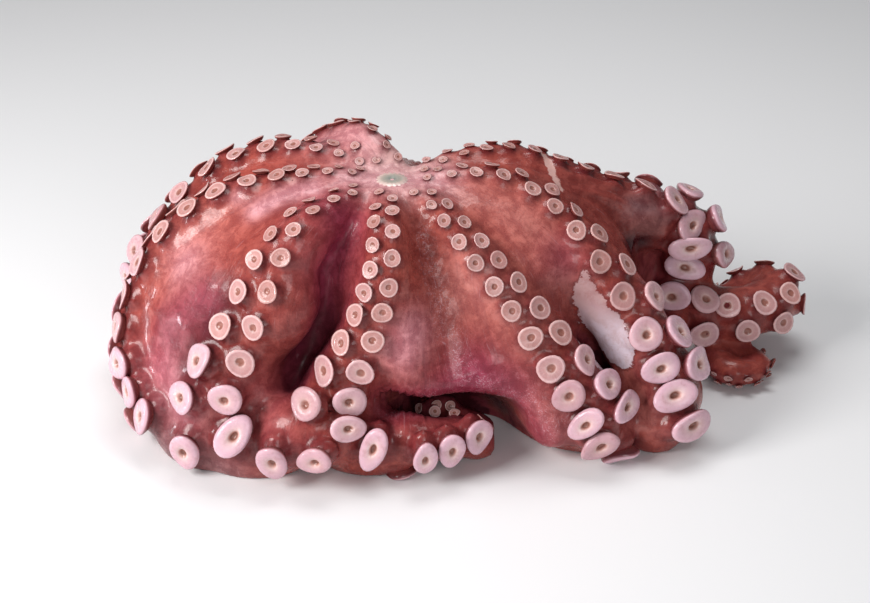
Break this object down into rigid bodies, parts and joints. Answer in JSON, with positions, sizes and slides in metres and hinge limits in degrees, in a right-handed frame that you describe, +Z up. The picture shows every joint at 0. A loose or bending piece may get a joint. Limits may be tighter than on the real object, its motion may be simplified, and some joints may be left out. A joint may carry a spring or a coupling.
{
  "type": "whole octopus",
  "caption": "Whole raw octopus lying on its mantle with the mouth up, arms draped outwards to the ground with suckers outermost, one tip curled in a flat coil.",
  "frame": {"origin": "on the ground under the middle of the box round the animal", "axes": "+Z up, +X towards the arm with the coiled tip, +Y towards the animal's rear, away from the arm with the widest suckers"},
  "size_m": [0.3553, 0.2126, 0.1389],
  "materials": {
    "octopus_skin": "wet, slimy skin, reddish brown with pale pink sucker faces"
  },
  "bodies": {
    "root": {"octopus": "octopus_skin"}
  },
  "joints": []
}
